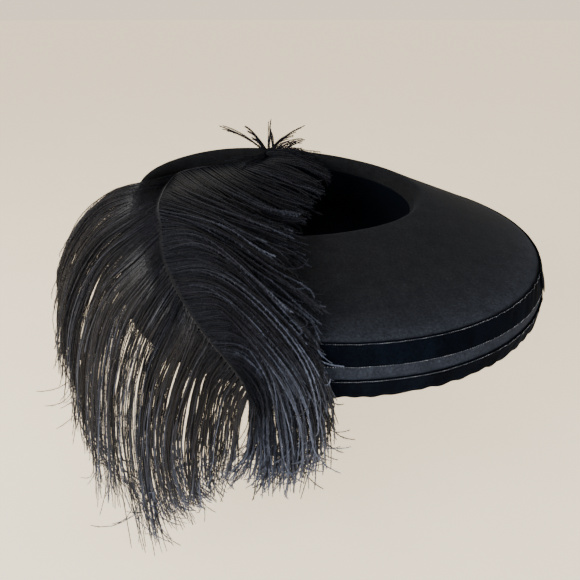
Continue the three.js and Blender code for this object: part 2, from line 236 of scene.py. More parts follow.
class Recipe:
    """A material's node tree, with short words for the nodes that the hat's finishes need."""

    def __init__(self, name):
        self.material = bpy.data.materials.new(name)
        self.material.use_nodes = True
        self.nodes = self.material.node_tree.nodes
        self.links = self.material.node_tree.links
        self.shader = self.nodes["Principled BSDF"]
        self.place = self.nodes.new("ShaderNodeTexCoord").outputs["Object"]

    def link(self, source, target):
        self.links.new(source, target)

    def grain(self, scale, detail=2.0, roughness=0.5, stretch=None):
        node = self.nodes.new("ShaderNodeTexNoise")
        node.inputs["Scale"].default_value = scale
        node.inputs["Detail"].default_value = detail
        node.inputs["Roughness"].default_value = roughness
        source = self.place
        if stretch:
            mapping = self.nodes.new("ShaderNodeMapping")
            mapping.inputs["Scale"].default_value = stretch
            self.link(self.place, mapping.inputs["Vector"])
            source = mapping.outputs["Vector"]
        self.link(source, node.inputs["Vector"])
        return node.outputs["Fac"]

    def ramp(self, source, *stops):
        node = self.nodes.new("ShaderNodeValToRGB")
        elements = node.color_ramp.elements
        while len(elements) < len(stops):
            elements.new(0.5)
        for element, (position, colour) in zip(elements, stops):
            element.position = position
            element.color = (*colour, 1)
        self.link(source, node.inputs["Fac"])
        return node.outputs["Color"]

    def blend(self, kind, factor, first, second):
        node = self.nodes.new("ShaderNodeMix")
        node.data_type = "RGBA"
        node.blend_type = kind
        if isinstance(factor, float):
            node.inputs[0].default_value = factor
        else:
            self.link(factor, node.inputs[0])
        for socket, value in ((node.inputs[6], first), (node.inputs[7], second)):
            if isinstance(value, tuple):
                socket.default_value = (*value, 1)
            else:
                self.link(value, socket)
        return node.outputs[2]

    def sums(self, kind, first, second):
        node = self.nodes.new("ShaderNodeMath")
        node.operation = kind
        for socket, value in zip(node.inputs, (first, second)):
            if isinstance(value, (int, float)):
                socket.default_value = value
            else:
                self.link(value, socket)
        return node.outputs[0]

    def specks(self, scale, size):
        node = self.nodes.new("ShaderNodeTexVoronoi")
        node.inputs["Scale"].default_value = scale
        self.link(self.place, node.inputs["Vector"])
        return self.sums("LESS_THAN", node.outputs["Distance"], size)

    def height(self, low, high):
        split = self.nodes.new("ShaderNodeSeparateXYZ")
        self.link(self.place, split.inputs[0])
        span = self.nodes.new("ShaderNodeMapRange")
        span.inputs["From Min"].default_value = low
        span.inputs["From Max"].default_value = high
        self.link(split.outputs["Z"], span.inputs["Value"])
        return span.outputs["Result"]

    def attribute(self, name):
        node = self.nodes.new("ShaderNodeAttribute")
        node.attribute_name = name
        return node.outputs["Fac"]

    def relief(self, height, strength, distance):
        node = self.nodes.new("ShaderNodeBump")
        node.inputs["Strength"].default_value = strength
        node.inputs["Distance"].default_value = distance
        self.link(height, node.inputs["Height"])
        self.link(node.outputs["Normal"], self.shader.inputs["Normal"])

    def gloss(self, roughness, specular, sheen=0.0, sheen_roughness=0.5, sheen_tint=(1, 1, 1)):
        self.shader.inputs["Roughness"].default_value = roughness
        self.shader.inputs["Specular IOR Level"].default_value = specular
        self.shader.inputs["Sheen Weight"].default_value = sheen
        self.shader.inputs["Sheen Roughness"].default_value = sheen_roughness
        self.shader.inputs["Sheen Tint"].default_value = (*sheen_tint, 1)

    def colour(self, source):
        self.link(source, self.shader.inputs["Base Color"])


def felt_finish():
    recipe = Recipe("black wool felt")
    nap = recipe.grain(620.0, 3.0, 0.65)
    mottle = recipe.grain(90.0, 3.0, 0.6)
    base = recipe.ramp(
        nap,
        (0.3, (0.0032, 0.0033, 0.0036)),
        (0.62, (0.0075, 0.0078, 0.0086)),
        (0.8, (0.015, 0.0155, 0.0172)),
    )
    worn = recipe.ramp(mottle, (0.3, (0.75, 0.76, 0.79)), (0.7, (1.18, 1.18, 1.18)))
    cloth = recipe.blend("MULTIPLY", 1.0, base, worn)
    # Painted light: from the shoulder down the side the felt is painted lighter and bluer, as if low front
    # light fell there; higher up the top keeps its own colour.
    painted_side_light = recipe.ramp(
        recipe.height(-0.012, 0.022),
        (0.0, (1.8, 2.05, 2.6)),
        (0.45, (2.3, 2.55, 3.1)),
        (0.66, (1.25, 1.32, 1.45)),
        (1.0, (1, 1, 1)),
    )
    nap_tone_and_painted_light = recipe.blend("MULTIPLY", 1.0, cloth, painted_side_light)
    recipe.colour(recipe.blend("MIX", recipe.specks(150.0, 0.04), nap_tone_and_painted_light, (0.04, 0.042, 0.047)))
    recipe.relief(nap, 0.5, 0.0004)
    recipe.gloss(0.95, 0.05, sheen=0.02, sheen_roughness=0.5, sheen_tint=(0.7, 0.78, 0.95))
    return recipe.material


def crown_velvet_finish():
    recipe = Recipe("sunken black velvet")
    pile = recipe.grain(900.0, 2.0, 0.6)
    recipe.colour(recipe.ramp(pile, (0.3, (0.0006, 0.001, 0.002)), (0.75, (0.0018, 0.003, 0.0052))))
    recipe.relief(pile, 0.4, 0.0004)
    recipe.gloss(0.95, 0.02, sheen=0.01, sheen_roughness=0.3, sheen_tint=(0.4, 0.6, 0.95))
    return recipe.material


def ribbon_velvet_finish():
    recipe = Recipe("black velvet ribbon")
    pile = recipe.grain(800.0, 2.0, 0.6)
    crushed = recipe.grain(70.0, 2.0, 0.5, stretch=(1, 1, 0.35))
    dark = recipe.ramp(pile, (0.3, (0.0004, 0.0007, 0.0016)), (0.78, (0.0014, 0.0023, 0.0046)))
    # The crushed pile's light and dark patches differ at random and are the velvet's own tone.
    nap_tone_and_painted_light = recipe.ramp(crushed, (0.35, (0.6, 0.6, 0.62)), (0.7, (1.5, 1.5, 1.45)))
    recipe.colour(recipe.blend("MULTIPLY", 1.0, dark, nap_tone_and_painted_light))
    recipe.relief(pile, 0.45, 0.0004)
    recipe.gloss(0.95, 0.02, sheen=0.018, sheen_roughness=0.25, sheen_tint=(0.45, 0.62, 0.95))
    return recipe.material


def selvedge_finish():
    recipe = Recipe("grey selvedge thread")
    wear = recipe.grain(160.0, 2.0, 0.6)
    recipe.colour(recipe.ramp(wear, (0.35, (0.035, 0.04, 0.05)), (0.6, (0.2, 0.21, 0.235))))
    recipe.gloss(0.6, 0.4)
    return recipe.material


def feather_finish(name, roughness, specular):
    recipe = Recipe(name)
    tone = recipe.attribute("tone")
    streak = recipe.grain(260.0, 2.0, 0.6)
    # Painted light: the tone attribute paints the hanging tips paler and some barbs lighter for highlight
    # streaks, and the ramp's bluish top is a painted highlight colour.
    depth = recipe.ramp(
        tone,
        (0.0, (0.002, 0.002, 0.0026)),
        (0.5, (0.0084, 0.0086, 0.012)),
        (1.0, (0.056, 0.064, 0.09)),
    )
    fade = recipe.ramp(streak, (0.3, (0.65, 0.65, 0.66)), (0.7, (1.25, 1.25, 1.25)))
    recipe.colour(recipe.blend("MULTIPLY", 1.0, depth, fade))
    recipe.gloss(roughness, specular, sheen=0.03, sheen_roughness=0.4, sheen_tint=(0.55, 0.72, 1.0))
    return recipe.material


def quill_finish():
    recipe = Recipe("grey feather quill")
    grain = recipe.grain(120.0, 3.0, 0.6, stretch=(1, 1, 0.2))
    # The tone attribute paints the quill grey along part of its length, partly its own pale colour and
    # partly a painted highlight.
    pale_quill_and_painted_highlight = recipe.ramp(recipe.attribute("tone"), (0.0, (0.005, 0.005, 0.006)), (1.0, (0.1, 0.1, 0.112)))
    streaks = recipe.ramp(grain, (0.3, (0.7, 0.7, 0.7)), (0.7, (1.2, 1.2, 1.2)))
    recipe.colour(recipe.blend("MULTIPLY", 1.0, pale_quill_and_painted_highlight, streaks))
    recipe.relief(grain, 0.2, 0.0003)
    recipe.gloss(0.5, 0.14)
    return recipe.material


FELT = felt_finish()
CROWN_VELVET = crown_velvet_finish()
RIBBON_VELVET = ribbon_velvet_finish()
SELVEDGE = selvedge_finish()
FEATHER = feather_finish("black ostrich down", 0.75, 0.04)
BARB_SHAFT = feather_finish("black ostrich barb shafts", 0.44, 0.15)
QUILL = quill_finish()


# Felt body

COVERED_INSET = RIBBON_WALL + CLEARANCE
BROAD_RIPPLE = 0.00045
FINE_RIPPLE = 0.00016
FELT_AROUND = 176

# Where the felt's rows lie, as shares of the collar, the roll, the top and the side
COLLAR_SHARES = (0.2, 0.4, 0.6, 0.8, 0.92)
ROLL_SHARES = (0, 0.2, 0.4, 0.6, 0.8, 0.93)
TOP_SHARES = (0.02, 0.1, 0.22, 0.36, 0.5, 0.64, 0.78, 0.9)
SIDE_SHARES = (0.2, 0.4, 0.52, 0.63, 0.8)


def felt_ripple(point):
    """The felt is never quite even: a few tenths of a millimetre of give."""
    return BROAD_RIPPLE * seeded_noise(point, 22, 1) + FINE_RIPPLE * seeded_noise(point, 75, 2)


def felt_rows():
    shoulder = 1 - SHOULDER_RADIUS / (BRIM_FORWARD + BRIM_HALF_LENGTH - RIM_FORWARD - RIM_FRONT_REACH)
    rows = [lambda a, z=z: head_oval(a, -z * COLLAR_DROP) for z in (1, 0.5, 0)]
    rows += [lambda a, s=s: collar_point(a, s) for s in COLLAR_SHARES]
    rows += [lambda a, q=q: roll_point(a, q) for q in ROLL_SHARES]
    rows += [lambda a, s=s: top_point(a, s, COVERED_INSET) for s in TOP_SHARES]
    rows += [lambda a: top_point(a, shoulder, COVERED_INSET)]
    rows += [lambda a, d=d: side_point(a, d * SHOULDER_RADIUS, COVERED_INSET) for d in (0.35, 1)]
    rows += [lambda a, d=d: side_point(a, d * SIDE_HEIGHT, COVERED_INSET) for d in SIDE_SHARES]
    rows += [lambda a: side_point(a, SIDE_HEIGHT - COVERED_INSET, COVERED_INSET)]
    return [lambda a, row=row: row(a) + UP * felt_ripple(row(a)) for row in rows]


felt = ring_skin("felt_body", felt_rows(), FELT_AROUND)
face_outwards(felt, Vector((0.2, 0, 0.2)))
wall(felt, FELT_WALL)
smooth(felt)
finish(felt, FELT, "felt", "felt_top", "felt_side", "felt_collar")


# Sunken velvet crown

CROWN_AROUND = 144
TIP_FOLDS = 14
FOLD_HEIGHT = 0.0006
TIP_DOME = 0.0012


def lining_point(angle, share):
    outward = outward_from(rim_half_length(angle), RIM_HALF_WIDTH, angle)
    return collar_point(angle, share) - outward * CLEARANCE


def tip_point(angle, share):
    point = head_oval(angle, 0) * share
    fold = FOLD_HEIGHT * math.sin(TIP_FOLDS * angle + 2 * math.sin(3 * angle)) * share ** 4
    point[2] = TIP_THICKNESS + fold + TIP_DOME * (1 - share)
    return point


def crown_rows():
    edge = 1 - VELVET_BELOW_RIM / RIM_HEIGHT
    rows = [lambda a, s=s: lining_point(a, s) for s in (edge, edge - 0.03, 0.75, 0.6, 0.45, 0.3, 0.18, 0.1)]
    rows += [lambda a, s=s: tip_point(a, s) for s in (0.965, 0.93, 0.86, 0.7, 0.5, 0.3, 0.12)]
    return rows


crown = ring_skin("velvet_cup", crown_rows(), CROWN_AROUND)
bpy.ops.mesh.extrude_edges_move()
bpy.ops.mesh.merge(type="CENTER")
face_outwards(crown, Vector((0, 0, 0.1)))
wall(crown, VELVET_WALL)
smooth(crown)
finish(crown, CROWN_VELVET, "crown_velvet", "velvet_crown")


# Ribbons

RIBBON_AROUND = 480
UPPER_SHARES = (0, 0.06, 0.2, 0.4, 0.6, 0.8, 0.94, 1)
LOWER_TOP = UPPER_RIBBON_WIDTH + STRIP_WIDTH
LOWER_SHARES = (0, 0.06, 0.25, 0.5, 0.75, 0.93)
# The gathers are deepest at this angle and fade over this many degrees to each side
PUCKER_MIDDLE = -33
PUCKER_FADE = 14
FINE_PUCKERS = 118
BROAD_PUCKERS = 61
FINE_PUCKER_DEPTH = 0.0007
BROAD_PUCKER_DEPTH = 0.0006
SLACK = 0.0003
EDGE_WANDER = 0.00025
# A ribbon's face goes no further than this inside the brim's outline
MOST_SUNK = 0.0002
# The lower ribbon's edge: its scallops, how it wanders between them and where it lies
SCALLOPS = 76
SCALLOP_DEPTH = 0.0007
SCALLOP_SWELL = 0.0004
HEM_WANDER = 0.0013
HEM_LONGER = 0.0005
HEM_ABOVE_EDGE = 0.0008


def pucker(angle, drop):
    """Slanting gathers where the ribbons turn round the front, in metres outwards."""
    degrees = math.degrees(angle)
    reach = math.exp(-(((degrees - PUCKER_MIDDLE) / PUCKER_FADE) ** 2))
    drift = 1.5 * seeded_noise((angle, drop, 0), 3, 5)
    fine = math.sin(math.radians(degrees) * FINE_PUCKERS + drop * 520 + drift)
    broad = math.sin(math.radians(degrees) * BROAD_PUCKERS + drop * 300)
    edge = 0.6 + 0.4 * math.cos(drop / UPPER_RIBBON_WIDTH * math.pi)
    return reach * edge * (FINE_PUCKER_DEPTH * fine + BROAD_PUCKER_DEPTH * broad)


def slack(angle, drop):
    place = (math.cos(angle) * 4, math.sin(angle) * 4, drop * 60)
    return SLACK * seeded_noise(place, 2.2, 3)


def hem(angle):
    """How far the lower ribbon's edge dips and rises along its irregular scallops."""
    place = (math.cos(angle), math.sin(angle), 0)
    phase = angle * SCALLOPS + 3.4 * seeded_noise(place, 6, 4)
    depth = SCALLOP_DEPTH * (1 + 1.6 * seeded_noise(place, 4, 8))
    return depth * math.sin(phase) + HEM_WANDER * seeded_noise(place, 20, 6) + HEM_LONGER


def upper_row(drop):
    def row(angle):
        proud = pucker(angle, drop) + slack(angle, drop)
        lift = EDGE_WANDER * seeded_noise((math.cos(angle), math.sin(angle), 0), 30, 7)
        return side_point(angle, max(0, drop + lift), -max(-MOST_SUNK, proud))

    return row


upper_rows = [upper_row(UPPER_RIBBON_WIDTH * share) for share in UPPER_SHARES]
upper = ring_skin("upper_velvet_ribbon", upper_rows, RIBBON_AROUND)
face_outwards(upper, Vector((0.4, 0, 0)))
wall(upper, RIBBON_WALL)
smooth(upper)
finish(upper, RIBBON_VELVET, "ribbon_velvet", "upper_ribbon")


# The join: the angles of the cut end and of the place where it comes out of the ribbon, in degrees
JOIN_CUT = -25.5
JOIN_ROOT = -8
JOIN_PROUD = 0.0019
JOIN_SUNK = -0.0003
JOIN_ABOVE = 0.001
JOIN_BELOW = 0.0003


def ribbon_join():
    """The ribbon's cut end, which laps over its beginning and stands a little proud."""
    bpy.ops.mesh.primitive_grid_add(x_subdivisions=18, y_subdivisions=8, size=2)
    piece = bpy.context.object
    piece.name = "ribbon_join"
    bpy.ops.object.mode_set(mode="EDIT")
    mesh = bmesh.from_edit_mesh(piece.data)
    for vert in mesh.verts:
        along = (vert.co.x + 1) / 2
        down = (vert.co.y + 1) / 2
        drop = mix(-JOIN_ABOVE * (1 - along), UPPER_RIBBON_WIDTH + JOIN_BELOW, down)
        proud = mix(JOIN_PROUD, JOIN_SUNK, along ** 0.7) + 0.0002 * math.sin(9 * down)
        vert.co = side_point(math.radians(mix(JOIN_CUT, JOIN_ROOT, along)), drop, -proud)
    bmesh.update_edit_mesh(piece.data)
    face_outwards(piece, Vector((0.4, -0.15, 0)))
    wall(piece, 0.8 * RIBBON_WALL)
    smooth(piece)
    finish(piece, RIBBON_VELVET, "ribbon_velvet")


ribbon_join()


def lower_outer(share):
    def row(angle):
        drop = mix(LOWER_TOP, SIDE_HEIGHT - HEM_ABOVE_EDGE + hem(angle), share)
        swell = SCALLOP_SWELL * math.sin(angle * SCALLOPS) * share
        proud = slack(angle, drop) + 0.8 * pucker(angle, drop) + swell
        return side_point(angle, drop, -max(-MOST_SUNK, proud))

    return row


def lower_under(inset, rise):
    def row(angle):
        return side_point(angle, SIDE_HEIGHT - rise + hem(angle) * (1 - rise / RIBBON_TURN), inset)

    return row


INSIDE = COVERED_INSET + FELT_WALL + CLEARANCE
lower_rows = [lower_outer(share) for share in LOWER_SHARES]
lower_rows += [lower_under(0.0006, 0.0001), lower_under(0.5 * INSIDE, -0.0001)]
lower_rows += [lower_under(INSIDE + 0.0005, 0.0004)]
lower_rows += [lower_under(INSIDE + RIBBON_WALL, rise) for rise in (0.002, 0.005, RIBBON_TURN)]
lower = ring_skin("lower_velvet_ribbon", lower_rows, RIBBON_AROUND)
face_outwards(lower, Vector((0.4, 0, -0.02)))
wall(lower, 0.9 * RIBBON_WALL)
smooth(lower)
finish(lower, RIBBON_VELVET, "ribbon_velvet", "lower_ribbon")


# Small repeated pieces: one is modelled, and its copies are joined in one mesh


def model_of(operator, shape, **settings):
    operator(**settings)
    piece = bpy.context.object
    points = np.array([shape(vert.co) for vert in piece.data.vertices])
    faces = [tuple(face.vertices) for face in piece.data.polygons]
    mesh = piece.data
    bpy.data.objects.remove(piece)
    bpy.data.meshes.remove(mesh)
    return points, faces


def joined(name, points, faces, attributes=None):
    mesh = bpy.data.meshes.new(name)
    mesh.from_pydata(points, [], faces)
    for label, values in (attributes or {}).items():
        layer = mesh.attributes.new(label, "FLOAT", "POINT")
        layer.data.foreach_set("value", np.asarray(values, np.float32))
    mesh.update()
    piece = bpy.data.objects.new(name, mesh)
    bpy.context.collection.objects.link(piece)
    bpy.context.view_layer.objects.active = piece
    return piece


def copies(model, places):
    """Copies of a modelled bit, each at (middle, along, across, size)."""
    points, faces = model
    out_points, out_faces = [], []
    for middle, along, across, size in places:
        along = unit(along)
        across = unit(across - along * np.dot(across, along))
        third = np.cross(along, across)
        start = len(out_points) * len(points)
        out_points.append(middle + size * (points @ np.stack([along, across, third])))
        out_faces += [tuple(start + corner for corner in face) for face in faces]
    return np.concatenate(out_points), out_faces


STITCH_HALF_LENGTH = 0.00042
STITCH_RADIUS = 0.00026
STITCH_PROUD = 0.0001
STITCH = model_of(
    bpy.ops.mesh.primitive_ico_sphere_add,
    lambda co: (co.x * STITCH_HALF_LENGTH, co.y * STITCH_RADIUS, co.z * STITCH_RADIUS),
    subdivisions=1,
    radius=1,
)


def stitches(row, spacing, draw):
    """Stitch places along an edge, spaced by length, with a little scatter."""
    angles = np.linspace(-math.pi, math.pi, 2400)
    points = np.array([row(angle) for angle in angles])
    walked = walked_along(points)
    places = []
    for length in np.arange(0, walked[-1] - spacing, spacing):
        angle = float(np.interp(length + draw.normal(0, 0.00008), walked, angles))
        here = row(angle)
        ahead = row(angle + 0.002)
        outward = outward_from(BRIM_HALF_LENGTH, BRIM_HALF_WIDTH, angle)
        size = draw.uniform(0.55, 1.0)
        lean = UP * draw.normal(0, 0.25)
        places.append((here + outward * STITCH_PROUD, unit(ahead - here) + lean, outward, size))
    return places


# Each sewn edge, and how far apart its stitches are
SEWN_EDGES = (
    (upper_row(0.0011), 0.00142),
    (upper_row(UPPER_RIBBON_WIDTH - 0.0002), 0.0016),
    (lower_outer(0.07), 0.00145),
)
stitch_draw = np.random.default_rng(11)
stitch_places = []
for edge, spacing in SEWN_EDGES:
    stitch_places += stitches(edge, spacing, stitch_draw)
stitch_piece = joined("picot_stitches", *copies(STITCH, stitch_places))
finish(stitch_piece, SELVEDGE, "ribbon_velvet")


# Plume: places, smooth rows and barbs


def plume_place(degrees, reach, lift):
    angle = math.radians(degrees)
    crest = roll_point(angle, 1)
    middle = np.array([RIM_FORWARD, RIM_SIDEWAYS, RIM_HEIGHT + ROLL_RISE])
    inner = mix(middle, crest, min(1, 1 + reach))
    point = mix(inner, brim_point(angle, 0), min(1, max(0, reach)))
    point = point + outward_from(BRIM_HALF_LENGTH, BRIM_HALF_WIDTH, angle) * max(0, reach - 1) * BARB_LENGTH
    return point + UP * lift * BARB_LENGTH


QUILL_ROWS = (
    (89, -0.11, -0.01), (106, -0.14, -0.05), (133, -0.13, -0.05), (147, -0.14, -0.04),
    (159, -0.17, -0.03), (178, -0.22, -0.02), (209, -0.18, 0.02), (229, 0, 0.03),
    (231, 0.18, 0.03), (232, 0.54, 0.035), (235, 0.75, 0.035), (239, 1, 0.045),
    (247, 1.05, -0.01), (252, 1.08, -0.05), (256, 1.1, -0.11), (257, 1.1, -0.15),
)

# Each row: place along the quill, then four places along its barb as angle, reach and lift
FRONT_ROWS = (
    (0.00, (76, -0.38, 0.02), (61, -0.47, 0.03), (39, -0.53, 0.03), (21, -0.51, 0.02)),
    (0.07, (87, -0.67, 0.02), (44, -0.79, 0.03), (-11, -0.71, 0.03), (-28, -0.54, 0.02)),
    (0.12, (170, -0.88, 0.02), (-75, -0.74, 0.03), (-63, -0.52, 0.03), (-58, -0.31, 0.02)),
    (0.19, (-150, -0.68, 0.03), (-95, -0.52, 0.04), (-78, -0.27, 0.03), (-69, -0.11, 0.03)),
    (0.26, (-138, -0.46, 0.03), (-101, -0.28, 0.04), (-85, -0.04, 0.04), (-76, 0.13, 0.03)),
    (0.37, (-130, -0.26, 0.04), (-102, -0.12, 0.04), (-87, 0.11, 0.04), (-79, 0.32, 0.03)),
    (0.50, (-120, -0.1, 0.04), (-100, 0.08, 0.05), (-91, 0.32, 0.04), (-84, 0.5, 0.03)),
    (0.57, (-115, 0.1, 0.04), (-103, 0.28, 0.05), (-95, 0.56, 0.04), (-87, 0.82, 0.03)),
    (0.63, (-115, 0.34, 0.06), (-104, 0.51, 0.06), (-98, 0.87, 0.05), (-89, 1.05, -0.05)),
    (0.69, (-112, 0.55, 0.06), (-101, 0.77, 0.06), (-93, 1.03, -0.04), (-87, 1.07, -0.28)),
    (0.74, (-112, 0.73, 0.05), (-103, 1, 0.06), (-92, 1.07, -0.11), (-89, 1.07, -0.43)),
    (0.80, (-112, 0.92, 0.05), (-103, 1.03, 0), (-94, 1.06, -0.19), (-92, 1.07, -0.51)),
    (0.86, (-108, 1.02, 0.02), (-101, 1.05, -0.04), (-97, 1.06, -0.22), (-95, 1.08, -0.54)),
    (0.92, (-105, 1.06, -0.06), (-101, 1.06, -0.13), (-100, 1.07, -0.3), (-99, 1.09, -0.54)),
    (1.00, (-102, 1.11, -0.2), (-103, 1.1, -0.29), (-104, 1.09, -0.39), (-107, 1.1, -0.51)),
)
BACK_ROWS = (
    (0.27, (195, -0.07, 0.03), (186, 1.03, 0.19), (180, 1.23, 0.04), (176, 1.44, -0.2)),
    (0.40, (205, 0.03, 0.03), (190, 1.07, 0.16), (186, 1.25, -0.03), (180, 1.46, -0.4)),
    (0.45, (207, 0.34, 0.06), (195, 1.1, 0.07), (190, 1.27, -0.18), (186, 1.46, -0.64)),
    (0.53, (213, 0.56, 0.07), (201, 1.1, 0.01), (196, 1.27, -0.32), (193, 1.34, -0.84)),
    (0.58, (218, 0.67, 0.06), (207, 1.09, -0.04), (201, 1.23, -0.39), (198, 1.32, -0.95)),
    (0.62, (222, 0.8, 0.04), (213, 1.09, -0.09), (207, 1.2, -0.47), (203, 1.28, -1.12)),
    (0.67, (226, 0.93, 0.04), (219, 1.08, -0.13), (214, 1.16, -0.5), (209, 1.22, -1.21)),
    (0.72, (229, 1.01, 0.01), (223, 1.07, -0.18), (218, 1.14, -0.53), (215, 1.16, -1.2)),
    (0.77, (235, 1.03, -0.01), (230, 1.08, -0.2), (225, 1.12, -0.56), (221, 1.12, -1.28)),
    (0.82, (240, 1.05, -0.06), (235, 1.08, -0.25), (231, 1.1, -0.56), (228, 1.08, -1.03)),
    (0.87, (244, 1.06, -0.09), (240, 1.08, -0.27), (236, 1.09, -0.55), (236, 1.06, -0.92)),
    (0.92, (248, 1.08, -0.13), (245, 1.08, -0.29), (242, 1.08, -0.53), (241, 1.06, -0.77)),
    (1.00, (256, 1.11, -0.22), (255, 1.1, -0.31), (254, 1.1, -0.42), (252, 1.1, -0.51)),
)


def curve_point(points, share):
    """A point on the smooth curve through the points, which keeps its pace between close points."""
    count = len(points)
    place = min(max(share, 0), 1) * (count - 1)
    step = min(int(place), count - 2)
    part = place - step
    p1, p2 = points[step], points[step + 1]
    p0 = points[step - 1] if step > 0 else 2 * points[0] - points[1]
    p3 = points[step + 2] if step + 2 < count else 2 * points[-1] - points[-2]
    d0, d1, d2 = (max(np.linalg.norm(b - a), 1e-9) ** 0.5 for a, b in ((p0, p1), (p1, p2), (p2, p3)))
    t1 = ((p1 - p0) / d0 - (p2 - p0) / (d0 + d1) + (p2 - p1) / d1) * d1
    t2 = ((p2 - p1) / d1 - (p3 - p1) / (d1 + d2) + (p3 - p2) / d2) * d1
    c2 = -3 * p1 + 3 * p2 - 2 * t1 - t2
    c3 = 2 * p1 - 2 * p2 + t1 + t2
    return p1 + t1 * part + c2 * part ** 2 + c3 * part ** 3


quill_knots = [plume_place(*row) for row in QUILL_ROWS]
quill_fine = np.array([curve_point(quill_knots, share) for share in np.linspace(0, 1, 400)])
quill_walked = walked_along(quill_fine)
quill_walked /= quill_walked[-1]


def quill_point(along):
    return between(along, quill_walked, quill_fine)


def quill_tangent(along):
    return unit(quill_point(min(1, along + 0.01)) - quill_point(max(0, along - 0.01)))


class Side:
    """One side of the plume: where its barbs go, and which way and how much their tips turn in."""

    def __init__(self, rows, tip_way, tip_fall):
        self.alongs = [row[0] for row in rows]
        self.strings = [[plume_place(*row[part]) for row in rows] for part in (1, 2, 3, 4)]
        self.tip_way = np.array(tip_way)
        self.tip_fall = tip_fall

    def route(self, along):
        share = np.interp(along, self.alongs, np.linspace(0, 1, len(self.alongs)))
        return np.array([quill_point(along)] + [curve_point(string, share) for string in self.strings])


front_side = Side(FRONT_ROWS, (-1.0, 0.1, 0.1), 0.7)
back_side = Side(BACK_ROWS, (0.5, -0.1, 0.1), 0.3)

# The hat's outer skin, from the collar up and over to the lower edge, keeps the barbs outside it

SKIN_SIDE_SHARES = (0.2, 0.4, 0.63, 0.8, 1.06)
SKIN_PROUD = 0.0006


def skin_tree():
    rows = felt_rows()[3:]
    rows[-5:] = [lambda a, d=d: side_point(a, d * SIDE_HEIGHT, -SKIN_PROUD) for d in SKIN_SIDE_SHARES]
    around = 96
    points, faces = [], []
    for row in rows:
        points += [tuple(row(2 * math.pi * k / around)) for k in range(around)]
    for level in range(len(rows) - 1):
        for k in range(around):
            a, b = level * around + k, level * around + (k + 1) % around
            faces.append((a, a + around, b + around, b))
    return BVHTree.FromPolygons(points, faces)


SKIN = skin_tree()


def clear_of_hat(points, room):
    """Moves each point that is nearer the hat's skin than room, or inside it, out to that distance."""
    for point in points:
        nearest, normal, _, _ = SKIN.find_nearest(Vector(point))
        out = (Vector(point) - nearest).dot(normal)
        if out < room:
            point += np.array(normal) * (room - out)


# Barbs: lines from the quill outwards, gathered into locks

FULL_TURN = 6.28
BARB_STEPS = 30
# The steps of a barb lie closer together towards its tip, by this power
TIP_CROWDING = 1.35
# The barbs leave the quill in strands, each drawn this far towards the middle of its own
STRANDS = 92
STRAND_PULL = 0.4
# At the quill and at the four places of a row: how much a lock pulls, and how much a barb strays
LOCK_PULLS = np.array([0, 0.05, 0.45, 0.85, 1])
STRAY_SHARES = np.array([0, 0.25, 0.6, 0.9, 1.2])
MOST_PULL = 0.97
LOCK_PUSH = (0.004, 0.004, 0.006)
STRAY = (0.0025, 0.0035, 0.005)
# A few barbs stray further
WILD_CHANCE = 0.04
WILD_STRAY = 1.7
WAVE_SWING = 0.0018
RIPPLE_SWING = 0.0009
CURL_SIZE = 0.0045
# Barbs beyond this place along the quill hang, and this share of them is hooked at the tip
HOOKS_FROM = 0.5
HOOK_CHANCE = 0.55
# This share of the barbs is nearly whole, and the others have lost their ends
WHOLE_CHANCE = 0.82
# How close a barb may come to the hat's skin, and how far off it some are kept
BARB_ROOM = 0.0015
BARB_ROOM_SPREAD = 0.004
LEAST_ROOM = 0.0012
# The outermost barbs bend back along this line, within this give
SIDE_SOFT = -0.203
SIDE_GIVE = 0.009


def hooked(line, step, bend, towards):
    """The line with its end from the given step on rolled through the angle bend."""
    pivot, tangent = line[step], unit(line[step] - line[step - 1])
    towards = unit(towards - tangent * np.dot(towards, tangent))
    length = np.linalg.norm(line[-1] - pivot)
    turns = np.linspace(0, bend, len(line) - step)[:, None]
    rolled = line.copy()
    rolled[step:] = pivot + (tangent * np.sin(turns) + towards * (1 - np.cos(turns))) * length / bend
    return rolled


class Locks:
    """Places on one side of the plume where barbs draw together, each with its own push, turn and wave."""

    def __init__(self, side, count, draw):
        first, last = side.alongs[0], side.alongs[-1]
        jitter = draw.uniform(-0.6, 0.6, count)
        self.places = np.linspace(first, last, count) + jitter * (last - first) / count
        self.pushes = draw.normal(0, 1, (count, 3)) * LOCK_PUSH
        self.turns = draw.uniform(0, FULL_TURN, count)
        self.paces = draw.uniform(3, 8, count)
        self.phases = draw.uniform(0, FULL_TURN, count)
        self.swings = draw.uniform(0.0015, 0.0065, count)

    def nearest(self, along):
        return int(np.argmin(np.abs(self.places - along)))


def strand_route(side, along):
    """The five places of a barb, drawn at the quill towards the middle of its strand."""
    strand = min(max((math.floor(along * STRANDS) + 0.5) / STRANDS, side.alongs[0]), side.alongs[-1])
    route = side.route(along)
    route[0] = quill_point(mix(along, strand, STRAND_PULL))
    return route


def stray_from_row(side, along, scatter, draw):
    """How far a barb lies from its row at each of its five places: the least at the root of the plume."""
    ease = min(1, 0.35 + 1.6 * max(0, along - side.alongs[0]))
    stray = draw.normal(0, 1, 3) * STRAY * scatter * ease
    if draw.uniform() < WILD_CHANCE:
        stray = stray * WILD_STRAY
    return stray * STRAY_SHARES[:, None]


def waved(line, shares, across, beside, draw):
    """The line with a long wave one way and a short ripple the other, both growing towards its tip."""
    wave = np.sin(shares * draw.uniform(4, 9) + draw.uniform(0, FULL_TURN))
    ripple = np.sin(shares * draw.uniform(12, 26) + draw.uniform(0, FULL_TURN))
    return line + across * wave * shares * WAVE_SWING + beside * ripple * shares * RIPPLE_SWING


